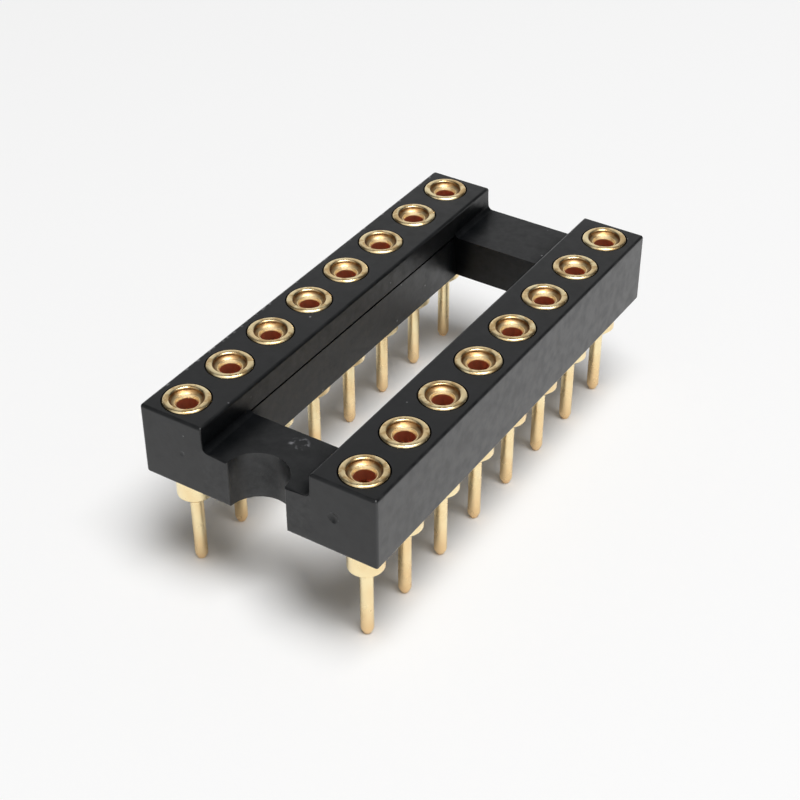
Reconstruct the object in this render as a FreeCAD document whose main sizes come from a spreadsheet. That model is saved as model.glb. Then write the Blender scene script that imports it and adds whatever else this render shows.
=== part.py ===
import FreeCAD, Part
import math
import os
import Sketcher

# A dual in-line socket for a sixteen-lead chip: a moulded open frame that holds two rows of turned
# contacts. Each contact is a sleeve with a solder tail, and a four-finger clip pressed into its bore.
# Millimetres. +Z is up and +Y runs along the rows, with the notched end at -Y. The origin is the centre
# of the contact pattern on the board's face, where the shoulders of the sleeves stand.

SIZES = [
    # contact pattern
    ("contacts_per_row", 8, "contacts in each row"),
    ("pitch", 2.54, "from one contact to the next along a row"),
    ("row_spacing", 7.62, "from the axis of one row to that of the other"),
    # moulded frame
    ("stand_off", 1.43, "underside of the frame above the board"),
    ("frame_height", 3.06, "underside to top of the rails"),
    ("end_margin", 1.15, "last contact's axis to the frame's end face"),
    ("side_margin", 1.25, "row's axis to the frame's long outer face"),
    ("inner_margin", 1.51, "row's axis to the rail's inner face"),
    ("bar_width", 2.82, "cross bar, measured along the rows"),
    ("bar_drop", 1.05, "top of the rails down to the top of a cross bar"),
    ("bar_draft", 0.28, "slope of a cross bar's inner face, from its top to its underside"),
    ("parting_step", 0.05, "lower inner wall set back under the upper one"),
    ("root_fillet", 0.22, "between a cross bar's top and the rail's wall"),
    ("edge_break", 0.12, "broken edges of the block and of the rails' tops"),
    ("notch_radius", 1.24, "half-round notch that marks the first contact's end"),
    # play between the frame and a sleeve
    ("recess_clearance", 0.04, "around the head, on the radius"),
    ("hole_clearance", 0.01, "around the barrel, on the radius"),
    # turned sleeve
    ("head_radius", 0.9, "head"),
    ("head_thickness", 0.5, "head, along the axis"),
    ("head_proud", 0.06, "head above the top of the frame"),
    ("lip_width", 0.3, "flat ring round the mouth"),
    ("rim_step", 0.1, "straight wall from the lip down to the funnel"),
    ("funnel_depth", 0.19, "from the lip down to the bore"),
    ("barrel_radius", 0.7, "barrel"),
    ("barrel_bevel", 0.25, "bevel round the barrel's shoulder"),
    ("bore_radius", 0.48, "bore that holds the clip"),
    ("bore_depth", 3.35, "from the lip to the bottom of the bore"),
    ("tail_radius", 0.255, "solder tail"),
    ("tail_length", 3.05, "solder tail below the shoulder"),
    ("tail_taper", 0.24, "tapered length at the tail's end"),
    ("tail_end_radius", 0.15, "flat at the tail's end"),
    # clip inside a sleeve
    ("clip_wall", 0.09, "thickness of the clip"),
    ("clip_lead_in", 0.06, "bevel at the clip's mouth, on the radius"),
    ("clip_lead_in_depth", 0.11, "bevel at the clip's mouth, along the axis"),
    ("clip_collar", 0.6, "full round collar"),
    ("clip_grip_depth", 1.75, "mouth to the fingers' narrowest place"),
    ("clip_grip_radius", 0.2, "clip's axis to a finger's face there"),
    ("clip_length", 2.1, "whole clip"),
    ("clip_flare", 0.06, "fingers open again by this much at their tips"),
    ("clip_fingers", 4, "fingers"),
    ("finger_width", 0.26, "flat finger"),
]

doc = FreeCAD.newDocument("ic_socket")
sheet = doc.addObject("Spreadsheet::Sheet", "sizes")
for row, (alias, number, meaning) in enumerate(SIZES, start=1):
    sheet.set(f"A{row}", meaning)
    sheet.set(f"B{row}", str(number))
    sheet.setAlias(f"B{row}", alias)
doc.recompute()

HALF_SPAN = "(sizes.pitch * (sizes.contacts_per_row - 1) / 2)"
HALF_LENGTH = f"({HALF_SPAN} + sizes.end_margin)"
HALF_WIDTH = "(sizes.row_spacing / 2 + sizes.side_margin)"
RAIL_INNER = "(sizes.row_spacing / 2 - sizes.inner_margin)"
WINDOW_HALF_LENGTH = f"({HALF_LENGTH} - sizes.bar_width)"
WINDOW_HALF_WIDTH = f"({RAIL_INNER} + sizes.parting_step)"
FRAME_TOP = "(sizes.stand_off + sizes.frame_height)"
BAR_TOP = f"({FRAME_TOP} - sizes.bar_drop)"
HEAD_TOP = f"({FRAME_TOP} + sizes.head_proud)"
HEAD_UNDERSIDE = f"({HEAD_TOP} - sizes.head_thickness)"
HOLE_RADIUS = "(sizes.barrel_radius + sizes.hole_clearance)"
RECESS_RADIUS = "(sizes.head_radius + sizes.recess_clearance)"
MOUTH_RADIUS = "(sizes.head_radius - sizes.lip_width)"
BORE_END = f"({HEAD_TOP} - sizes.bore_depth)"
CLIP_TOP = f"({HEAD_TOP} - sizes.funnel_depth)"
CLIP_INNER = "(sizes.bore_radius - sizes.clip_wall)"
FINGER_BACK = "sqrt(sizes.bore_radius ^ 2 - (sizes.finger_width / 2) ^ 2)"


def value(expression):
    """The number that an expression on the sheet comes to."""
    return float(sheet.evalExpression(expression))


def origin_item(body, role):
    """A plane or an axis of the body's own origin."""
    return next(item for item in body.Origin.OriginFeatures if item.Role == role)


def new_body(label):
    body = doc.addObject("PartDesign::Body", label)
    body.Label = label
    return body


def new_sketch(body, name, plane, offset="0"):
    """A sketch on one of the body's origin planes, moved along its normal by the offset."""
    sketch = body.newObject("Sketcher::SketchObject", name)
    sketch.AttachmentSupport = [(origin_item(body, plane), "")]
    sketch.MapMode = "FlatFace"
    sketch.setExpression("AttachmentOffset.Base.z", offset)
    return sketch


def place_point(sketch, element, point, across, up):
    """Ties a point of the sketch to the origin by two distances, or to an axis where one is nothing."""
    for kind, axis, distance in (("DistanceX", -2, across), ("DistanceY", -1, up)):
        if distance == "0":
            sketch.addConstraint(Sketcher.Constraint("PointOnObject", element, point, axis))
            continue
        index = sketch.addConstraint(
            Sketcher.Constraint(kind, -1, 1, element, point, value(distance))
        )
        sketch.setExpression(f"Constraints[{index}]", distance)


def set_radius(sketch, element, radius):
    index = sketch.addConstraint(Sketcher.Constraint("Radius", element, value(radius)))
    sketch.setExpression(f"Constraints[{index}]", radius)


def arc_between(start, end, radius):
    """The short arc from start to end that turns to the left, as an outline's outside does."""
    chord = end - start
    rise = math.sqrt(max(radius**2 - (chord.Length / 2) ** 2, 0))
    centre = (start + end) / 2 + FreeCAD.Vector(-chord.y, chord.x, 0).normalize() * rise
    angles = [math.atan2(spot.y - centre.y, spot.x - centre.x) for spot in (start, end)]
    return Part.ArcOfCircle(Part.Circle(centre, FreeCAD.Vector(0, 0, 1), radius), *angles)


def add_outline(sketch, corners):
    """A closed outline, counter-clockwise through the corners, each given as (across, up).

    A corner with a third value, a radius, starts an arc of that radius instead of a straight line.
    """
    spots = [FreeCAD.Vector(value(corner[0]), value(corner[1]), 0) for corner in corners]
    for corner, start, end in zip(corners, spots, spots[1:] + spots[:1]):
        if len(corner) == 3:
            sketch.addGeometry(arc_between(start, end, value(corner[2])))
        else:
            sketch.addGeometry(Part.LineSegment(start, end))
    for index, corner in enumerate(corners):
        following = (index + 1) % len(corners)
        sketch.addConstraint(Sketcher.Constraint("Coincident", index, 2, following, 1))
        place_point(sketch, index, 1, corner[0], corner[1])
        if len(corner) == 3:
            set_radius(sketch, index, corner[2])


def add_rectangle(sketch, half_width, low, high):
    """A rectangle that is centred across the sketch and runs up it from low to high."""
    add_outline(
        sketch,
        [
            (f"-{half_width}", low),
            (half_width, low),
            (half_width, high),
            (f"-{half_width}", high),
        ],
    )


def add_circle(sketch, across, up, radius):
    centre = FreeCAD.Vector(value(across), value(up), 0)
    circle = sketch.addGeometry(
        Part.Circle(centre, FreeCAD.Vector(0, 0, 1), value(radius))
    )
    place_point(sketch, circle, 3, across, up)
    set_radius(sketch, circle, radius)


def cut(body, name, sketch, depth=None, both_ways=False):
    """A pocket of the sketch's outline, right through where no depth is given. It has to remove material."""
    before = body.Shape.Volume
    pocket = body.newObject("PartDesign::Pocket", name)
    pocket.Profile = sketch
    if both_ways:
        pocket.SideType = "Symmetric"
    if depth is None:
        pocket.Type = "ThroughAll"
    else:
        pocket.setExpression("Length", depth)
    doc.recompute()
    if body.Shape.Volume >= before:
        raise RuntimeError(f"{name} cuts nothing")
    return pocket


def revolve(body, name, sketch):
    turned = body.newObject("PartDesign::Revolution", name)
    turned.Profile = sketch
    turned.ReferenceAxis = (sketch, ["V_Axis"])
    turned.Angle = 360
    doc.recompute()
    return turned


def break_edges(body, name, size, wanted):
    """Bevels each straight edge of the body whose middle and direction the test accepts."""
    base = body.Tip
    names = []
    for number, edge in enumerate(base.Shape.Edges, start=1):
        if not isinstance(edge.Curve, Part.Line):
            continue
        start, end = edge.Vertexes[0].Point, edge.Vertexes[-1].Point
        if wanted((start + end) / 2, (end - start).normalize()):
            names.append(f"Edge{number}")
    bevel = body.newObject("PartDesign::Chamfer", name)
    bevel.Base = (base, names)
    bevel.setExpression("Size", size)
    doc.recompute()
    return bevel


def near(first, second):
    """Equal but for rounding."""
    return abs(first - second) < 1e-5


def build_frame():
    """The moulded frame: two rails, two lower cross bars, the notch and a stepped hole for each contact."""
    body = new_body("insulator_frame")
    end = value(HALF_LENGTH)
    side = value(HALF_WIDTH)
    top = value(FRAME_TOP)
    bottom = value("sizes.stand_off")

    outline = new_sketch(body, "frame_outline", "XY_Plane", "sizes.stand_off")
    add_rectangle(outline, HALF_WIDTH, f"-{HALF_LENGTH}", HALF_LENGTH)
    block = body.newObject("PartDesign::Pad", "frame_block")
    block.Profile = outline
    block.setExpression("Length", "sizes.frame_height")
    doc.recompute()

    # the trough between the rails runs out through both end faces and leaves the bars lower
    trough = new_sketch(body, "trough_section", "XZ_Plane")
    root = f"({RAIL_INNER} - sizes.root_fillet)"
    root_top = f"({BAR_TOP} + sizes.root_fillet)"
    add_outline(
        trough,
        [
            (f"-{RAIL_INNER}", FRAME_TOP),
            (f"-{RAIL_INNER}", root_top, "sizes.root_fillet"),
            (f"-{root}", BAR_TOP),
            (root, BAR_TOP, "sizes.root_fillet"),
            (RAIL_INNER, root_top),
            (RAIL_INNER, FRAME_TOP),
        ],
    )
    cut(body, "trough", trough, both_ways=True)

    window = new_sketch(body, "window_outline", "XY_Plane", FRAME_TOP)
    add_rectangle(window, RAIL_INNER, f"-{WINDOW_HALF_LENGTH}", WINDOW_HALF_LENGTH)
    cut(body, "window", window)

    # below the bars' tops the mould's other half makes the window a little wider and slopes its ends
    lower_window = new_sketch(body, "lower_window_section", "YZ_Plane")
    wide = f"({WINDOW_HALF_LENGTH} + sizes.bar_draft)"
    add_outline(
        lower_window,
        [
            (f"-{wide}", "sizes.stand_off"),
            (wide, "sizes.stand_off"),
            (WINDOW_HALF_LENGTH, BAR_TOP),
            (f"-{WINDOW_HALF_LENGTH}", BAR_TOP),
        ],
    )
    cut(body, "lower_window", lower_window, f"2 * {WINDOW_HALF_WIDTH}", both_ways=True)

    notch = new_sketch(body, "notch_outline", "XY_Plane", BAR_TOP)
    add_circle(notch, "0", f"-{HALF_LENGTH}", "sizes.notch_radius")
    cut(body, "notch", notch)

    break_edges(
        body,
        "broken_edges",
        "sizes.edge_break",
        lambda middle, along: near(middle.z, top)
        or (near(abs(along.z), 1) and near(abs(middle.x), side) and near(abs(middle.y), end))
        or (near(middle.z, bottom) and (near(abs(middle.x), side) or near(abs(middle.y), end))),
    )

    recess_outline = new_sketch(body, "recess_outline", "XY_Plane", FRAME_TOP)
    add_circle(recess_outline, "-sizes.row_spacing / 2", f"-{HALF_SPAN}", RECESS_RADIUS)
    recess = cut(body, "recess", recess_outline, "sizes.head_thickness - sizes.head_proud")
    hole_outline = new_sketch(body, "hole_outline", "XY_Plane", FRAME_TOP)
    add_circle(hole_outline, "-sizes.row_spacing / 2", f"-{HALF_SPAN}", HOLE_RADIUS)
    hole = cut(body, "hole", hole_outline)

    seats = body.newObject("PartDesign::LinearPattern", "contact_seats")
    seats.Originals = [recess, hole]
    seats.Direction = (origin_item(body, "Y_Axis"), [""])
    seats.setExpression("Length", f"2 * {HALF_SPAN}")
    seats.setExpression("Occurrences", "sizes.contacts_per_row")
    seats.Direction2 = (origin_item(body, "X_Axis"), [""])
    seats.setExpression("Length2", "sizes.row_spacing")
    seats.Occurrences2 = 2
    body.Tip = seats
    doc.recompute()
    return body


def build_sleeve(label):
    """The turned sleeve: head with mouth, funnel and bore, the barrel, and the solder tail."""
    body = new_body(label)
    section = new_sketch(body, f"{label}_section", "XZ_Plane")
    add_outline(
        section,
        [
            ("0", "-sizes.tail_length"),
            ("sizes.tail_end_radius", "-sizes.tail_length"),
            ("sizes.tail_radius", "-sizes.tail_length + sizes.tail_taper"),
            ("sizes.tail_radius", "0"),
            ("sizes.barrel_radius - sizes.barrel_bevel", "0"),
            ("sizes.barrel_radius", "sizes.barrel_bevel"),
            ("sizes.barrel_radius", HEAD_UNDERSIDE),
            ("sizes.head_radius", HEAD_UNDERSIDE),
            ("sizes.head_radius", HEAD_TOP),
            (MOUTH_RADIUS, HEAD_TOP),
            (MOUTH_RADIUS, f"{HEAD_TOP} - sizes.rim_step"),
            ("sizes.bore_radius", CLIP_TOP),
            ("sizes.bore_radius", BORE_END),
            ("0", BORE_END),
        ],
    )
    revolve(body, f"{label}_turned", section)
    return body


def build_clip(label):
    """The clip: a round collar that fills the bore, with flat fingers that close on the lead."""
    body = new_body(label)
    collar_end = f"({CLIP_TOP} - sizes.clip_collar)"
    grip = f"({CLIP_TOP} - sizes.clip_grip_depth)"
    tips = f"({CLIP_TOP} - sizes.clip_length)"
    section = new_sketch(body, f"{label}_collar_section", "XZ_Plane")
    add_outline(
        section,
        [
            (CLIP_INNER, collar_end),
            ("sizes.bore_radius", collar_end),
            ("sizes.bore_radius", CLIP_TOP),
            (f"{CLIP_INNER} + sizes.clip_lead_in", CLIP_TOP),
            (CLIP_INNER, f"{CLIP_TOP} - sizes.clip_lead_in_depth"),
        ],
    )
    revolve(body, f"{label}_collar", section)

    # a finger leans in from the collar's end to the grip and opens again, and is repeated round the axis
    profile = new_sketch(body, f"{label}_finger_profile", "XZ_Plane")
    add_outline(
        profile,
        [
            (f"{FINGER_BACK} - sizes.clip_wall", collar_end),
            ("sizes.clip_grip_radius", grip),
            ("sizes.clip_grip_radius + sizes.clip_flare", tips),
            ("sizes.clip_grip_radius + sizes.clip_flare + sizes.clip_wall", tips),
            ("sizes.clip_grip_radius + sizes.clip_wall", grip),
            (FINGER_BACK, collar_end),
        ],
    )
    finger = body.newObject("PartDesign::Pad", f"{label}_finger")
    finger.Profile = profile
    finger.SideType = "Symmetric"
    finger.setExpression("Length", "sizes.finger_width")
    doc.recompute()
    fingers = body.newObject("PartDesign::PolarPattern", f"{label}_fingers")
    fingers.Originals = [finger]
    fingers.Axis = (origin_item(body, "Z_Axis"), [""])
    fingers.Angle = 360
    fingers.setExpression("Occurrences", "sizes.clip_fingers")
    body.Tip = fingers
    doc.recompute()
    return body


def stand_at(body, place):
    """Puts a contact's piece on its place in the pattern, counted up the +X row and back down the other."""
    count = int(value("sizes.contacts_per_row"))
    row, step = divmod(place, count)
    side = "-" if row else ""
    along = f"(sizes.pitch * {step} - {HALF_SPAN})"
    body.setExpression("Placement.Base.x", f"{side}sizes.row_spacing / 2")
    body.setExpression("Placement.Base.y", f"{side}{along}")


frame = build_frame()
subparts = [frame]
for place in range(2 * int(value("sizes.contacts_per_row"))):
    for kind, build in (("sleeve", build_sleeve), ("clip", build_clip)):
        piece = build(f"contact_{kind}_{place + 1:02d}")
        stand_at(piece, place)
        subparts.append(piece)
doc.recompute()

for item in doc.Objects:
    if "Invalid" in item.State or "Error" in item.State:
        raise RuntimeError(f"{item.Label} failed: {item.State}")
os.makedirs("parts", exist_ok=True)
for piece in subparts:
    shape = piece.Shape
    if shape.isNull() or not shape.isValid() or len(shape.Solids) != 1:
        raise RuntimeError(f"{piece.Label} isn't one valid solid")
    shape.exportStep(f"parts/{piece.Label}.step")
    print(f"{piece.Label}: {shape.Volume:.3f} mm3")
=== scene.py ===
import math

import bmesh
import bpy
from mathutils import Matrix, Vector


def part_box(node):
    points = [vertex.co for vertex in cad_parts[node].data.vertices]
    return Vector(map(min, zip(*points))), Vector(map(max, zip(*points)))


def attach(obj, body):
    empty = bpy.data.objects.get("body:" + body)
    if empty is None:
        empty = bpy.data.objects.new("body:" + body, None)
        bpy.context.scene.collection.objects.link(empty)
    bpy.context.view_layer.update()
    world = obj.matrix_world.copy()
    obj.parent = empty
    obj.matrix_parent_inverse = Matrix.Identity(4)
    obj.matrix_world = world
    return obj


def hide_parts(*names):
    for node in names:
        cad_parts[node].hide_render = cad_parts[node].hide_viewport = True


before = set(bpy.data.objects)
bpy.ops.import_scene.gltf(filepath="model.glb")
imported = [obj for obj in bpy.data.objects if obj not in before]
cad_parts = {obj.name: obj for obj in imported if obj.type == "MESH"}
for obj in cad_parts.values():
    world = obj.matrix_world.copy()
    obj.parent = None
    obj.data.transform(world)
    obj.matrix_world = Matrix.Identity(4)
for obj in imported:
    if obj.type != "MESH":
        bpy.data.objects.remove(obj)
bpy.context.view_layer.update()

# A dual in-line chip socket: a black moulded frame with rows of turned gold contacts.
# Lengths are millimetres in the row frame until a finished mesh is scaled to metres.
MM = 0.001

# places and heights that follow from the frame
FRAME_LOW, FRAME_HIGH = (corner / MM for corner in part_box("insulator_frame"))
SLEEVE_LOW, SLEEVE_HIGH = (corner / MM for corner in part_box("contact_sleeve_01"))
CLIP_LOW, CLIP_HIGH = (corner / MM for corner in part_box("contact_clip_01"))
HALF_WIDTH = FRAME_HIGH.x
HALF_LENGTH = FRAME_HIGH.y
UNDERSIDE = FRAME_LOW.z
TOP = FRAME_HIGH.z
HEAD_TOP = SLEEVE_HIGH.z
TAIL_END = SLEEVE_LOW.z
HEAD_RADIUS = (SLEEVE_HIGH.x - SLEEVE_LOW.x) / 2
BORE_RADIUS = (CLIP_HIGH.x - CLIP_LOW.x) / 2
CLIP_TOP = CLIP_HIGH.z

# moulded frame
RAIL_INNER = 2.3
BAR_TOP = TOP - 1.05
WINDOW_HALF_LENGTH = HALF_LENGTH - 2.82
BAR_DRAFT = 0.28
PARTING_STEP = 0.05
ROOT_FILLET = 0.22
EDGE_ROUND = 0.12
NOTCH_RADIUS = 1.24
RECESS_RADIUS = HEAD_RADIUS + 0.04
HOLE_RADIUS = 0.71
PIT_ACROSS = 3.27
PIT_DROP = 1.5
PIT_RADIUS = 0.4
PIT_DEPTHS = {-1: 0.03, 1: 0.08}
PARTING_GROOVE = 0.075
GROOVE_END_GAP = 0.02
GATE_MARK = (0.3, -7.8)
GATE_MARK_RADIUS = 0.26

# turned sleeve
HEAD_UNDERSIDE = HEAD_TOP - 0.5
MOUTH_RADIUS = HEAD_RADIUS - 0.28
FUNNEL_TOP = HEAD_TOP - 0.1
BARREL_RADIUS = 0.7
BARREL_BEVEL = 0.25
BORE_END = HEAD_TOP - 3.35
TAIL_RADIUS = 0.255
TAIL_TAPER = 0.24
TAIL_END_RADIUS = 0.15

# clip in the sleeve's bore
CLIP_WALL = 0.09
CLIP_LEAD_IN = 0.06
CLIP_LEAD_IN_DEPTH = 0.11
COLLAR_END = CLIP_TOP - 0.6
GRIP_HEIGHT = CLIP_TOP - 1.75
GRIP_RADIUS = 0.2
FINGER_TIPS = CLIP_LOW.z
FINGER_FLARE = 0.06
FINGER_WIDTH = 0.26
FINGERS = 4

# colours, as linear shares of red, green and blue
DARKER_PLASTIC, LIGHTER_PLASTIC = (0.0035, 0.004, 0.0045), (0.0065, 0.007, 0.0078)
TORN_PLASTIC = (0.17, 0.17, 0.18)
NICKED_PLASTIC = (0.3, 0.3, 0.31)
DUST = (0.22, 0.22, 0.23)
DEEP_GOLD, BRIGHT_GOLD = (0.92, 0.7, 0.38), (1, 0.85, 0.52)
# darker, browner gold for random patches on the head
HEAD_PATCH_GOLD = (0.55, 0.34, 0.13)
TAIL_GOLD = (0.93, 0.65, 0.35)
# the first mouth colour is a painted dark reflection: the deep brown at the mouth's top
MOUTH_TOP_PAINTED_REFLECTION, MOUTH_GOLD = (0.16, 0.08, 0.03), (0.82, 0.66, 0.39)
# brown patches in the mouth: painted dark reflections
MOUTH_PATCH_PAINTED_REFLECTION = (0.4, 0.23, 0.09)
# the clip's red is a darker red, painted for the shade deep in the bore
CLIP_PAINTED_SHADE_RED, CLIP_GOLD = (0.76, 0.28, 0.16), (0.95, 0.76, 0.44)

# gloss of the plastic
REFRACTION = 1.5
SIDE_EXTRA_REFRACTION = 0.23
TOP_LESS_REFRACTION = 0.1
HOLLOW_REACH = 1.6

# light
ROOM_LIGHT = 0.13
KEY_PLACE = (155, -70, 580)
KEY_AIM = (0, 0, 2)
KEY_SIZE = 310
KEY_WATTS = 3.4
# what gloss sees of the room: how bright its dark parts are, and for each bright side its direction,
# the closeness to that direction where brightness starts and stops rising, and the brightness there
DARK_SIDE = 0.03
BRIGHT_SIDES = (
    ((-0.57, 0.82, 0), 0.505, 0.91, 0.8),
    ((0.43, -0.67, 0.6), 0.3, 0.9, 1),
)
FLOOR_HALF_METRES = 0.6
FLOOR_WHITE = 0.96

# camera, fitted to the heads in the photograph: its height counts from the frame's top
CAMERA_ANGLES = (32.68, 36.80, -0.20)
CAMERA_PLACE = (28.5, -45.13, 35.79)
FOCAL_PIXELS, IMAGE_PIXELS = 1673, 800

# how finely the pieces are cut
TURNED_SEGMENTS = 96
HOLE_SEGMENTS = 96
NOTCH_SEGMENTS = 64
PIT_SEGMENTS = 32
ARC_STEPS = 5
BEVEL_STEPS = 4
FRAME_CREASE, TURNED_CREASE = 35, 30


# outlines and meshes

def rounded(corners, closed=True):
    """The corners, given as (across, up, radius), with each one replaced by an arc of its radius."""
    points = []
    last = len(corners) - 1
    for index, (across, up, radius) in enumerate(corners):
        here = Vector((across, up))
        if radius == 0 or (not closed and index in (0, last)):
            points.append(here)
            continue
        back = (Vector(corners[index - 1][:2]) - here).normalized()
        ahead = (Vector(corners[(index + 1) % len(corners)][:2]) - here).normalized()
        half_angle = back.angle(ahead) / 2
        centre = here + (back + ahead).normalized() * radius / math.sin(half_angle)
        start = here + back * radius / math.tan(half_angle) - centre
        end = here + ahead * radius / math.tan(half_angle) - centre
        turn = start.angle_signed(end)
        for step in range(ARC_STEPS + 1):
            points.append(centre + Matrix.Rotation(-turn * step / ARC_STEPS, 2) @ start)
    return points


def turned_mesh(profile, segments):
    """A mesh that is turned about Z from an open profile of points (radius, height)."""
    mesh = bmesh.new()
    rings = []
    for radius, height in profile:
        if radius < 1e-6:
            rings.append([mesh.verts.new((0, 0, height))] * segments)
            continue
        rings.append([])
        for step in range(segments):
            angle = 2 * math.pi * step / segments
            spot = (radius * math.cos(angle), radius * math.sin(angle), height)
            rings[-1].append(mesh.verts.new(spot))
    for low, high in zip(rings, rings[1:]):
        for step in range(segments):
            following = (step + 1) % segments
            corners = [low[step], low[following], high[following], high[step]]
            unique = list(dict.fromkeys(corners))
            if len(unique) > 2:
                mesh.faces.new(unique)
    bmesh.ops.recalc_face_normals(mesh, faces=mesh.faces)
    return mesh


def prism_mesh(outline, place, low, high):
    """A solid with the closed outline as its section, where place(a, b, depth) gives a point in space."""
    mesh = bmesh.new()
    ends = [[mesh.verts.new(place(a, b, depth)) for a, b in outline] for depth in (low, high)]
    mesh.faces.new(ends[0])
    mesh.faces.new(ends[1])
    for index in range(len(outline)):
        following = (index + 1) % len(outline)
        mesh.faces.new([ends[0][index], ends[0][following], ends[1][following], ends[1][index]])
    bmesh.ops.recalc_face_normals(mesh, faces=mesh.faces)
    return mesh


def as_object(name, mesh):
    """An object in the scene that holds the bmesh."""
    data = bpy.data.meshes.new(name)
    mesh.to_mesh(data)
    mesh.free()
    piece = bpy.data.objects.new(name, data)
    bpy.context.scene.collection.objects.link(piece)
    return piece


def bake_modifiers(piece):
    """Turns what the modifiers make of a piece into its own mesh."""
    graph = bpy.context.evaluated_depsgraph_get()
    made = bpy.data.meshes.new_from_object(piece.evaluated_get(graph))
    piece.modifiers.clear()
    piece.data = made


def combine(piece, other, operation):
    """Joins the other object to the piece, or cuts it away, and deletes it."""
    boolean = piece.modifiers.new("combine", "BOOLEAN")
    boolean.operation = operation
    boolean.solver = "EXACT"
    boolean.object = other
    bake_modifiers(piece)
    bpy.data.objects.remove(other)


def round_edges(piece, width, share):
    """Rounds each edge by the share of the width that share(middle, direction) gives for it."""
    mesh = bmesh.new()
    mesh.from_mesh(piece.data)
    weights = mesh.edges.layers.float.new("bevel_weight_edge")
    for edge in mesh.edges:
        start, end = (corner.co for corner in edge.verts)
        edge[weights] = share((start + end) / 2, (end - start).normalized())
    mesh.to_mesh(piece.data)
    mesh.free()
    bevel = piece.modifiers.new("round", "BEVEL")
    bevel.width = width
    bevel.segments = BEVEL_STEPS
    bevel.limit_method = "WEIGHT"
    bevel.use_clamp_overlap = False
    bake_modifiers(piece)


def near(first, second):
    """Equal but for rounding."""
    return abs(first - second) < 1e-4


def smooth(mesh, angle):
    """Smooth shading, with a crease where faces meet at more than the angle, in degrees."""
    mesh.polygons.foreach_set("use_smooth", [True] * len(mesh.polygons))
    mesh.set_sharp_from_angle(angle=math.radians(angle))


def flat_faces_first(piece):
    """Keeps large flat faces evenly lit beside their rounded edges."""
    weighted = piece.modifiers.new("weighted", "WEIGHTED_NORMAL")
    weighted.keep_sharp = True
    bake_modifiers(piece)


# the pieces

def contact_places():
    """Where each contact stands: (number, across, along), read from the frame."""
    for node in sorted(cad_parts):
        if node.startswith("contact_sleeve_"):
            low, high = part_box(node)
            middle = (low + high) / 2 / MM
            yield node[-2:], middle.x, middle.y


def along_y(a, b, depth):
    return (a, depth, b)


def along_x(a, b, depth):
    return (depth, a, b)


def along_z(a, b, depth):
    return (a, b, depth)


def rectangle(half_width, half_height):
    return [
        (-half_width, -half_height),
        (half_width, -half_height),
        (half_width, half_height),
        (-half_width, half_height),
    ]


def roundness(middle, along):
    """How round an edge of the frame is: the tops and the outer corners fully, the bars' ends by half."""
    outer_side = near(abs(middle.x), HALF_WIDTH)
    outer_end = near(abs(middle.y), HALF_LENGTH)
    upright = near(abs(along.z), 1)
    if near(middle.z, TOP) or (upright and outer_side and outer_end):
        return 1
    if near(middle.z, UNDERSIDE) and (outer_side or outer_end):
        return 1
    if outer_end and (upright or near(middle.z, BAR_TOP)):
        return 0.5
    return 0


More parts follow.
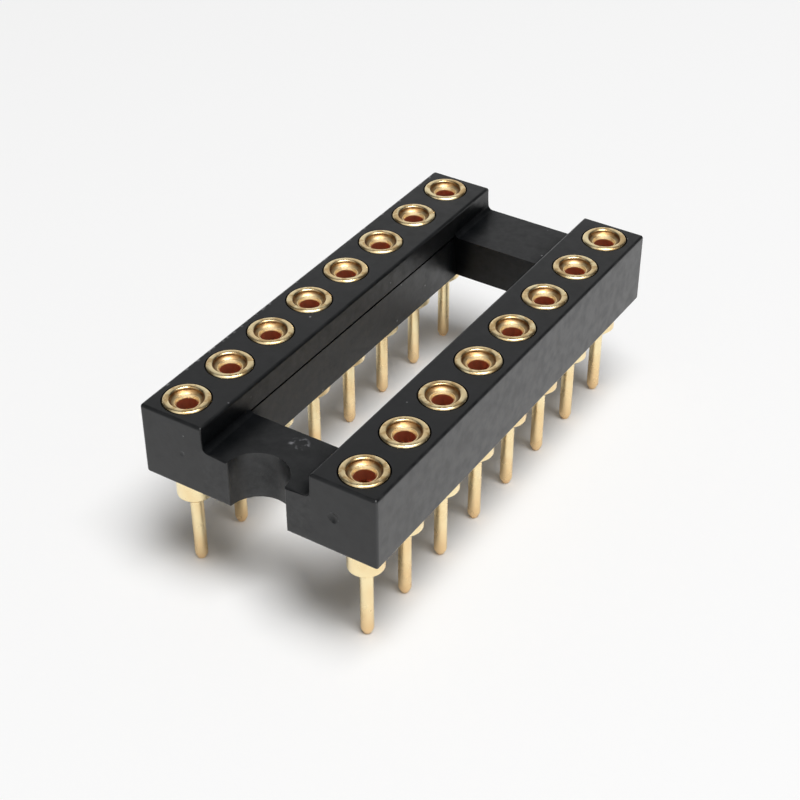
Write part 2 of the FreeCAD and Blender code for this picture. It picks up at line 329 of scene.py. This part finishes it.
def make_frame():
    """The moulded frame, with rounded edges and a stepped seat for each contact."""
    beyond = 1
    low, high = UNDERSIDE - beyond, TOP + beyond
    piece = as_object(
        "moulded_frame",
        prism_mesh(rectangle(HALF_WIDTH, HALF_LENGTH), along_z, UNDERSIDE, TOP),
    )
    trough = rounded(
        [
            (-RAIL_INNER, high, 0),
            (-RAIL_INNER, BAR_TOP, ROOT_FILLET),
            (RAIL_INNER, BAR_TOP, ROOT_FILLET),
            (RAIL_INNER, high, 0),
        ]
    )
    far = HALF_LENGTH + beyond
    combine(piece, as_object("cutter", prism_mesh(trough, along_y, -far, far)), "DIFFERENCE")
    window = rectangle(RAIL_INNER, WINDOW_HALF_LENGTH)
    combine(piece, as_object("cutter", prism_mesh(window, along_z, low, high)), "DIFFERENCE")
    notch = turned_mesh([(0, low), (NOTCH_RADIUS, low), (NOTCH_RADIUS, high), (0, high)], NOTCH_SEGMENTS)
    bmesh.ops.translate(notch, verts=notch.verts, vec=(0, -HALF_LENGTH, 0))
    combine(piece, as_object("cutter", notch), "DIFFERENCE")
    round_edges(piece, EDGE_ROUND, roundness)
    # below the bars' tops the window is a little wider and its ends slope
    slope = BAR_DRAFT / (BAR_TOP - UNDERSIDE)
    wide = WINDOW_HALF_LENGTH + slope * (BAR_TOP - low)
    lower_window = [
        (-wide, low),
        (wide, low),
        (WINDOW_HALF_LENGTH, BAR_TOP),
        (-WINDOW_HALF_LENGTH, BAR_TOP),
    ]
    reach = RAIL_INNER + PARTING_STEP
    cutter = as_object("cutter", prism_mesh(lower_window, along_x, -reach, reach))
    combine(piece, cutter, "DIFFERENCE")
    # the mould's halves left a fine groove where they met
    groove = rectangle(reach + PARTING_GROOVE, WINDOW_HALF_LENGTH - GROOVE_END_GAP)
    low_side, high_side = BAR_TOP - PARTING_GROOVE, BAR_TOP + PARTING_GROOVE
    cutter = as_object("cutter", prism_mesh(groove, along_z, low_side, high_side))
    combine(piece, cutter, "DIFFERENCE")
    for side, depth in PIT_DEPTHS.items():
        pit = bmesh.new()
        bmesh.ops.create_uvsphere(pit, u_segments=PIT_SEGMENTS, v_segments=PIT_SEGMENTS // 2, radius=PIT_RADIUS)
        spot = (side * PIT_ACROSS, -HALF_LENGTH - PIT_RADIUS + depth, TOP - PIT_DROP)
        bmesh.ops.translate(pit, verts=pit.verts, vec=spot)
        combine(piece, as_object("cutter", pit), "DIFFERENCE")
    seat = [
        (0, low),
        (HOLE_RADIUS, low),
        (HOLE_RADIUS, HEAD_UNDERSIDE),
        (RECESS_RADIUS, HEAD_UNDERSIDE),
        (RECESS_RADIUS, high),
        (0, high),
    ]
    seats = bmesh.new()
    for _, across, along in contact_places():
        one = turned_mesh(seat, HOLE_SEGMENTS)
        bmesh.ops.translate(one, verts=one.verts, vec=(across, along, 0))
        held = bpy.data.meshes.new("seat")
        one.to_mesh(held)
        one.free()
        seats.from_mesh(held)
        bpy.data.meshes.remove(held)
    combine(piece, as_object("cutter", seats), "DIFFERENCE")
    smooth(piece.data, FRAME_CREASE)
    flat_faces_first(piece)
    piece.data.transform(Matrix.Scale(MM, 4))
    return piece


def sleeve_data():
    """The mesh that all the turned sleeves share, with its axis at the origin."""
    profile = rounded(
        [
            (0, TAIL_END, 0),
            (TAIL_END_RADIUS, TAIL_END, 0.1),
            (TAIL_RADIUS, TAIL_END + TAIL_TAPER, 0.3),
            (TAIL_RADIUS, 0, 0.03),
            (BARREL_RADIUS - BARREL_BEVEL, 0, 0.05),
            (BARREL_RADIUS, BARREL_BEVEL, 0.05),
            (BARREL_RADIUS, HEAD_UNDERSIDE, 0.01),
            (HEAD_RADIUS, HEAD_UNDERSIDE, 0.02),
            (HEAD_RADIUS, HEAD_TOP, 0.1),
            (MOUTH_RADIUS, HEAD_TOP, 0.09),
            (MOUTH_RADIUS, FUNNEL_TOP, 0.02),
            (BORE_RADIUS, CLIP_TOP, 0.02),
            (BORE_RADIUS, BORE_END, 0.05),
            (0, BORE_END, 0),
        ],
        closed=False,
    )
    holder = as_object("sleeve", turned_mesh(profile, TURNED_SEGMENTS))
    data = holder.data
    bpy.data.objects.remove(holder)
    smooth(data, TURNED_CREASE)
    data.transform(Matrix.Scale(MM, 4))
    return data


def finger_mesh(angle):
    """A flat finger that leans in to the grip and opens again at its tip."""
    back = math.sqrt(BORE_RADIUS ** 2 - (FINGER_WIDTH / 2) ** 2)
    overlap = 0.02
    profile = rounded(
        [
            (back - CLIP_WALL, COLLAR_END + overlap, 0),
            (back - CLIP_WALL, COLLAR_END, 0.1),
            (GRIP_RADIUS, GRIP_HEIGHT, 0.5),
            (GRIP_RADIUS + FINGER_FLARE, FINGER_TIPS, 0.02),
            (GRIP_RADIUS + FINGER_FLARE + CLIP_WALL, FINGER_TIPS, 0.02),
            (GRIP_RADIUS + CLIP_WALL, GRIP_HEIGHT, 0.5),
            (back, COLLAR_END, 0.1),
            (back, COLLAR_END + overlap, 0),
        ]
    )
    mesh = prism_mesh(profile, along_y, -FINGER_WIDTH / 2, FINGER_WIDTH / 2)
    turn = Matrix.Rotation(angle, 4, "Z")
    bmesh.ops.transform(mesh, matrix=turn, verts=mesh.verts)
    return mesh


def clip_data():
    """The mesh that all the clips share, with its axis at the origin."""
    inner = BORE_RADIUS - CLIP_WALL
    collar = rounded(
        [
            (inner, COLLAR_END, 0.015),
            (BORE_RADIUS, COLLAR_END, 0.015),
            (BORE_RADIUS, CLIP_TOP, 0.01),
            (inner + CLIP_LEAD_IN, CLIP_TOP, 0.01),
            (inner, CLIP_TOP - CLIP_LEAD_IN_DEPTH, 0.1),
        ]
    )
    holder = as_object("clip", turned_mesh(collar + collar[:1], TURNED_SEGMENTS))
    weld = holder.modifiers.new("weld", "WELD")
    weld.merge_threshold = 1e-5
    bake_modifiers(holder)
    for finger in range(FINGERS):
        angle = 2 * math.pi * finger / FINGERS
        combine(holder, as_object("cutter", finger_mesh(angle)), "UNION")
    data = holder.data
    bpy.data.objects.remove(holder)
    smooth(data, TURNED_CREASE)
    data.transform(Matrix.Scale(MM, 4))
    return data


# materials

class Nodes:
    """A material's node tree, with short ways to add nodes and links."""

    def __init__(self, name):
        self.material = bpy.data.materials.new(name)
        self.material.use_nodes = True
        self.tree = self.material.node_tree
        self.surface = self.tree.nodes["Principled BSDF"]

    def add(self, kind, **settings):
        node = self.tree.nodes.new("ShaderNode" + kind)
        for key, setting in settings.items():
            setattr(node, key, setting)
        return node

    def link(self, source, target):
        self.tree.links.new(source, target)

    def parts_of(self, kind):
        """The X, Y and Z of a texture coordinate, such as Object or Normal."""
        place = self.add("TexCoord")
        parts = self.add("SeparateXYZ")
        self.link(place.outputs[kind], parts.inputs["Vector"])
        return parts.outputs

    def noise(self, scale, detail=3, roughness=0.5):
        """Noise that differs from contact to contact, with its scale in features per millimetre."""
        place = self.add("TexCoord")
        stands = self.add("ObjectInfo")
        apart = self.add("VectorMath", operation="ADD")
        noise = self.add("TexNoise")
        noise.inputs["Scale"].default_value = scale / MM
        noise.inputs["Detail"].default_value = detail
        noise.inputs["Roughness"].default_value = roughness
        self.link(place.outputs["Object"], apart.inputs[0])
        self.link(stands.outputs["Location"], apart.inputs[1])
        self.link(apart.outputs["Vector"], noise.inputs["Vector"])
        return noise.outputs["Fac"]

    def spread(self, value, low, high, start=0.35, end=0.65):
        """Spreads the values from start to end of an output over low to high."""
        spread = self.add("MapRange")
        spread.inputs["From Min"].default_value = start
        spread.inputs["From Max"].default_value = end
        spread.inputs["To Min"].default_value = low
        spread.inputs["To Max"].default_value = high
        self.link(value, spread.inputs["Value"])
        return spread.outputs["Result"]

    def fade(self, value, low, high, start, end):
        """Like spread, for a length, with start and end in millimetres."""
        return self.spread(value, low, high, start * MM, end * MM)

    def tint(self, value, first, second):
        """A colour between two, chosen by an output from 0 to 1."""
        mix = self.add("Mix", data_type="RGBA")
        for socket, colour in (("A", first), ("B", second)):
            if isinstance(colour, bpy.types.NodeSocket):
                self.link(colour, mix.inputs[socket])
            else:
                mix.inputs[socket].default_value = (*colour, 1)
        self.link(value, mix.inputs["Factor"])
        return mix.outputs["Result"]

    def size_of(self, value):
        """The value without its sign."""
        size = self.add("Math", operation="ABSOLUTE")
        self.link(value, size.inputs[0])
        return size.outputs["Value"]

    def both(self, operation, first, second):
        """Two outputs brought together by a Math operation."""
        math_node = self.add("Math", operation=operation)
        self.link(first, math_node.inputs[0])
        self.link(second, math_node.inputs[1])
        return math_node.outputs["Value"]

    def product(self, first, second):
        return self.both("MULTIPLY", first, second)

    def sum(self, first, second):
        return self.both("ADD", first, second)

    def add_to(self, value, amount):
        added = self.add("Math", operation="ADD")
        added.inputs[1].default_value = amount
        self.link(value, added.inputs[0])
        return added.outputs["Value"]

    def bump(self, height, strength, distance):
        bump = self.add("Bump")
        bump.inputs["Strength"].default_value = strength
        bump.inputs["Distance"].default_value = distance * MM
        self.link(height, bump.inputs["Height"])
        self.link(bump.outputs["Normal"], self.surface.inputs["Normal"])


def plastic_material():
    """Black moulded plastic: glossiest on its long sides, with nicks, specks and the torn gate's mark."""
    nodes = Nodes("black_plastic")
    mottle = nodes.spread(nodes.noise(1.1, detail=4), 0, 1)
    colour = nodes.tint(mottle, DARKER_PLASTIC, LIGHTER_PLASTIC)
    for share, marked in (
        (ring_share(nodes), TORN_PLASTIC),
        (nick_share(nodes), NICKED_PLASTIC),
        (speck_share(nodes), DUST),
    ):
        colour = nodes.tint(share, colour, marked)
    nodes.link(colour, nodes.surface.inputs["Base Color"])
    facing = nodes.parts_of("Normal")
    sideways = nodes.spread(
        nodes.size_of(facing["X"]), REFRACTION, REFRACTION + SIDE_EXTRA_REFRACTION, start=0, end=1
    )
    upward = nodes.spread(nodes.size_of(facing["Z"]), 0, -TOP_LESS_REFRACTION, start=0, end=1)
    nodes.link(nodes.sum(sideways, upward), nodes.surface.inputs["IOR"])
    nodes.link(gloss_and_painted_shade(nodes), nodes.surface.inputs["Specular IOR Level"])
    nodes.link(nodes.spread(nodes.noise(2.3, detail=5), 0.3, 0.42), nodes.surface.inputs["Roughness"])
    nodes.bump(nodes.noise(6), strength=0.12, distance=0.02)
    return nodes.material


def gloss_and_painted_shade(nodes):
    """Half in the open, less in hollows, in the trough's roots and on the rails' and bars' inner walls, which
    paints shade there.
    """
    spot = nodes.parts_of("Object")
    facing = nodes.parts_of("Normal")
    # painted shade: an occlusion node dims the gloss in hollows and pockets
    hollow = nodes.add("AmbientOcclusion", samples=12)
    hollow.inputs["Distance"].default_value = HOLLOW_REACH * MM
    gloss = nodes.spread(hollow.outputs["AO"], 0.02, 0.5, start=0.7, end=0.9)
    across = nodes.size_of(spot["X"])
    inner = nodes.fade(across, 1, 0, RAIL_INNER + 0.02, RAIL_INNER + 0.1)
    inward = nodes.fade(across, 1, 0, RAIL_INNER + 0.3, RAIL_INNER + 0.6)
    within = nodes.fade(nodes.size_of(spot["Y"]), 1, 0, HALF_LENGTH - 2.3, HALF_LENGTH - 2)
    above = nodes.fade(spot["Z"], 0, 1, BAR_TOP + 0.02, BAR_TOP + 0.1)
    low = nodes.fade(spot["Z"], 1, 0, BAR_TOP + 0.4, BAR_TOP + 0.6)
    size_x, size_y, size_z = (nodes.size_of(facing[axis]) for axis in "XYZ")
    sideways = nodes.spread(size_x, 0, 1, start=0.5, end=0.9)
    lengthways = nodes.spread(size_y, 0, 1, start=0.5, end=0.9)
    slanting = nodes.spread(nodes.product(size_x, size_z), 0, 1, start=0.15, end=0.45)
    # painted shade: duller trough roots, inner walls and the bars' window walls
    for share, least in (
        (nodes.product(nodes.product(inner, low), slanting), 0.3),
        (nodes.product(inner, above), 0.78),
        (nodes.product(inward, sideways), 0.72),
        (nodes.product(lengthways, within), 0.42),
    ):
        gloss = nodes.product(gloss, nodes.spread(share, 1, least, start=0, end=1))
    uneven = nodes.spread(nodes.noise(3, detail=6, roughness=0.7), -0.13, 0.16)
    return nodes.product(gloss, nodes.add_to(nodes.product(inner, uneven), 1))


def ring_share(nodes):
    """One on the flecks of the ring that the torn gate left on the notched bar, and nothing beside it."""
    place = nodes.add("TexCoord")
    offset = nodes.add("VectorMath", operation="DISTANCE")
    offset.inputs[1].default_value = (GATE_MARK[0] * MM, GATE_MARK[1] * MM, BAR_TOP * MM)
    nodes.link(place.outputs["Object"], offset.inputs[0])
    from_ring = nodes.size_of(nodes.add_to(offset.outputs["Value"], -GATE_MARK_RADIUS * MM))
    ring = nodes.fade(from_ring, 1, 0, 0.04, 0.17)
    return nodes.product(ring, nodes.spread(nodes.noise(4.2), 0, 1, start=0.5, end=0.66))


def nick_share(nodes):
    """Above nothing on a few small nicks in the outer top edge of the rail on the -X side."""
    spot = nodes.parts_of("Object")
    outer = nodes.fade(spot["X"], 1, 0, 0.1 - HALF_WIDTH, 0.2 - HALF_WIDTH)
    high = nodes.fade(spot["Z"], 0, 1, TOP - 0.12, TOP - 0.07)
    rough = nodes.spread(nodes.noise(4.5), 0, 0.6, start=0.57, end=0.66)
    return nodes.product(nodes.product(outer, high), rough)


def speck_share(nodes):
    """One on a few small specks, else nothing."""
    place = nodes.add("TexCoord")
    cells = nodes.add("TexVoronoi")
    cells.inputs["Scale"].default_value = 1.3 / MM
    nodes.link(place.outputs["Object"], cells.inputs["Vector"])
    close = nodes.spread(cells.outputs["Distance"], 1, 0, start=0.03, end=0.07)
    chosen = nodes.add("SeparateColor")
    nodes.link(cells.outputs["Color"], chosen.inputs["Color"])
    return nodes.product(close, nodes.spread(chosen.outputs["Red"], 0, 1, start=0.8, end=0.85))


def gold_material():
    """Gold plating: redder at the tail's end, patchy brown on the head, and dull in the mouth, where brown
    patches and a brown band at its top are painted dark reflections.
    """
    nodes = Nodes("sleeve_gold")
    nodes.surface.inputs["Metallic"].default_value = 1
    place = nodes.add("TexCoord")
    flat = nodes.add("VectorMath", operation="MULTIPLY")
    flat.inputs[1].default_value = (1, 1, 0)
    nodes.link(place.outputs["Object"], flat.inputs[0])
    radius = nodes.add("VectorMath", operation="LENGTH")
    nodes.link(flat.outputs["Vector"], radius.inputs[0])
    height = nodes.parts_of("Object")["Z"]
    in_head = nodes.fade(height, 0, 1, HEAD_UNDERSIDE, HEAD_UNDERSIDE + 0.1)
    inside = nodes.fade(radius.outputs["Value"], 1, 0, MOUTH_RADIUS + 0.005, MOUTH_RADIUS + 0.06)
    in_mouth = nodes.product(inside, in_head)

    plated = nodes.tint(nodes.spread(nodes.noise(0.9), 0, 1), DEEP_GOLD, BRIGHT_GOLD)
    # darker, browner patches at random on the head
    patches = nodes.spread(nodes.noise(3, detail=4), 0, 0.7, start=0.48, end=0.58)
    plated = nodes.tint(nodes.product(in_head, patches), plated, HEAD_PATCH_GOLD)
    at_tail_end = nodes.fade(height, 0.8, 0, TAIL_END + 0.2, TAIL_END + 2)
    plated = nodes.tint(at_tail_end, plated, TAIL_GOLD)
    # painted dark reflection: the top of the mouth turns deep brown, where its wall would mirror the dark hole
    lower = nodes.fade(height, 1, 0, FUNNEL_TOP - 0.1, FUNNEL_TOP - 0.02)
    mouth = nodes.tint(lower, MOUTH_TOP_PAINTED_REFLECTION, MOUTH_GOLD)
    # painted dark reflections: random brown patches in the mouth
    painted_reflection_patches = nodes.spread(nodes.noise(3.2), 0, 0.7, start=0.45, end=0.58)
    mouth = nodes.tint(painted_reflection_patches, mouth, MOUTH_PATCH_PAINTED_REFLECTION)
    nodes.link(nodes.tint(in_mouth, plated, mouth), nodes.surface.inputs["Base Color"])

    dull_mouth = nodes.spread(in_mouth, 0, 0.45, start=0, end=1)
    outside = nodes.spread(nodes.noise(1.2), 0.22, 0.3)
    nodes.link(nodes.both("MAXIMUM", dull_mouth, outside), nodes.surface.inputs["Roughness"])
    return nodes.material


def clip_material():
    """The clip's plating: like the sleeve's at the mouth, and further down a darker red that is painted shade
    in the deep bore.
    """
    nodes = Nodes("clip_gold")
    nodes.surface.inputs["Metallic"].default_value = 0.8
    nodes.surface.inputs["Roughness"].default_value = 0.35
    height = nodes.parts_of("Object")["Z"]
    # painted shade: below the lead-in the clip turns a darker red
    at_mouth = nodes.fade(height, 0, 1, CLIP_TOP - 0.14, CLIP_TOP - CLIP_LEAD_IN_DEPTH)
    nodes.link(nodes.tint(at_mouth, CLIP_PAINTED_SHADE_RED, CLIP_GOLD), nodes.surface.inputs["Base Color"])
    return nodes.material


# what surrounds the part

def make_floor():
    """A pale floor at the tails' ends. It shows the part's shadow and is white to the eye and in gloss."""
    half = FLOOR_HALF_METRES
    height = TAIL_END * MM
    mesh = bmesh.new()
    spots = [(-half, -half), (half, -half), (half, half), (-half, half)]
    mesh.faces.new([mesh.verts.new((x, y, height)) for x, y in spots])
    floor = as_object("floor", mesh)
    nodes = Nodes("pale_floor")
    nodes.surface.inputs["Base Color"].default_value = (FLOOR_WHITE, FLOOR_WHITE, FLOOR_WHITE, 1)
    nodes.surface.inputs["Roughness"].default_value = 1
    nodes.surface.inputs["Specular IOR Level"].default_value = 0
    # far from the part, where the light falls off, it stays white to the eye
    place = nodes.add("TexCoord")
    away = nodes.add("VectorMath", operation="LENGTH")
    nodes.link(place.outputs["Object"], away.inputs[0])
    add_to_what_is_seen(nodes, nodes.spread(away.outputs["Value"], 0.03, 0.9, start=0.1, end=0.5))
    floor.data.materials.append(nodes.material)


def seen_rays(nodes):
    """One where a camera, glossy or transmission ray meets the surface, else nothing."""
    path = nodes.add("LightPath")
    total = path.outputs["Is Camera Ray"]
    for name in ("Is Glossy Ray", "Is Transmission Ray"):
        total = nodes.both("MAXIMUM", total, path.outputs[name])
    return total


def add_to_what_is_seen(nodes, strength):
    """Brightens the surface for the rays that see it, and gives the part no light."""
    nodes.surface.inputs["Emission Color"].default_value = (1, 1, 1, 1)
    nodes.link(nodes.product(seen_rays(nodes), strength), nodes.surface.inputs["Emission Strength"])


def make_world():
    """Weak light from all round. Gloss shows a room that is bright on two sides, and the camera sees white."""
    world = bpy.data.worlds.new("surround")
    world.use_nodes = True
    bpy.context.scene.world = world
    tree = world.node_tree
    path = tree.nodes.new("ShaderNodeLightPath")
    place = tree.nodes.new("ShaderNodeTexCoord")
    room = tree.nodes.new("ShaderNodeMath")
    for side, (direction, start, end, strength) in enumerate(BRIGHT_SIDES):
        toward = tree.nodes.new("ShaderNodeVectorMath")
        toward.operation = "DOT_PRODUCT"
        toward.inputs[1].default_value = direction
        tree.links.new(place.outputs["Generated"], toward.inputs[0])
        rise = tree.nodes.new("ShaderNodeMapRange")
        limits = {"From Min": start, "From Max": end, "To Min": DARK_SIDE, "To Max": strength}
        for name, number in limits.items():
            rise.inputs[name].default_value = number
        tree.links.new(toward.outputs["Value"], rise.inputs["Value"])
        tree.links.new(rise.outputs["Result"], room.inputs[side])
    light = ROOM_LIGHT
    for ray, shown in (("Is Glossy Ray", room.outputs["Value"]), ("Is Camera Ray", 1)):
        choice = tree.nodes.new("ShaderNodeMix")
        tree.links.new(path.outputs[ray], choice.inputs["Factor"])
        for socket, source in (("A", light), ("B", shown)):
            if isinstance(source, bpy.types.NodeSocket):
                tree.links.new(source, choice.inputs[socket])
            else:
                choice.inputs[socket].default_value = source
        light = choice.outputs["Result"]
    background = tree.nodes["Background"]
    background.inputs["Color"].default_value = (1, 1, 1, 1)
    tree.links.new(light, background.inputs["Strength"])


def make_lamp(name, place, aim, size, watts):
    """A square soft light, with its place and aim in millimetres."""
    lamp = bpy.data.lights.new(name, "AREA")
    lamp.size = size * MM
    lamp.energy = watts
    holder = bpy.data.objects.new(name, lamp)
    holder.location = Vector(place) * MM
    direction = (Vector(aim) - Vector(place)).normalized()
    holder.rotation_euler = direction.to_track_quat("-Z", "Y").to_euler()
    bpy.context.scene.collection.objects.link(holder)


def make_camera():
    """The photograph's view: from the notched end, on the +X side, looking down."""
    azimuth, elevation, roll = (math.radians(angle) for angle in CAMERA_ANGLES)
    back = Vector(
        (
            math.sin(azimuth) * math.cos(elevation),
            -math.cos(azimuth) * math.cos(elevation),
            math.sin(elevation),
        )
    )
    level = Vector((math.cos(azimuth), math.sin(azimuth), 0))
    above = back.cross(level)
    right = level * math.cos(roll) + above * math.sin(roll)
    up = above * math.cos(roll) - level * math.sin(roll)
    data = bpy.data.cameras.new("camera")
    data.sensor_width = 36
    data.lens = data.sensor_width * FOCAL_PIXELS / IMAGE_PIXELS
    data.clip_start = 1 * MM
    camera = bpy.data.objects.new("camera", data)
    turn = Matrix((right, up, back)).transposed().to_4x4()
    place = (Vector(CAMERA_PLACE) + Vector((0, 0, TOP))) * MM
    camera.matrix_world = Matrix.Translation(place) @ turn
    bpy.context.scene.collection.objects.link(camera)
    bpy.context.scene.camera = camera


def dress(piece, material):
    """Gives a piece its material, and lets it ride on the one body."""
    piece.data.materials.clear()
    piece.data.materials.append(material)
    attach(piece, "root")


make_camera()
make_world()
make_floor()
make_lamp("key", KEY_PLACE, KEY_AIM, KEY_SIZE, KEY_WATTS)

moulded = make_frame()
dress(moulded, plastic_material())
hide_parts("insulator_frame")

shared = {"sleeve": sleeve_data(), "clip": clip_data()}
golds = {"sleeve": gold_material(), "clip": clip_material()}
for number, across, along in contact_places():
    for kind, data in shared.items():
        piece = bpy.data.objects.new(f"{kind}_of_contact_{number}", data)
        piece.location = (across * MM, along * MM, 0)
        bpy.context.scene.collection.objects.link(piece)
        bpy.context.view_layer.update()
        dress(piece, golds[kind])
        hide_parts(f"contact_{kind}_{number}")

bpy.context.scene.view_settings.view_transform = "Standard"
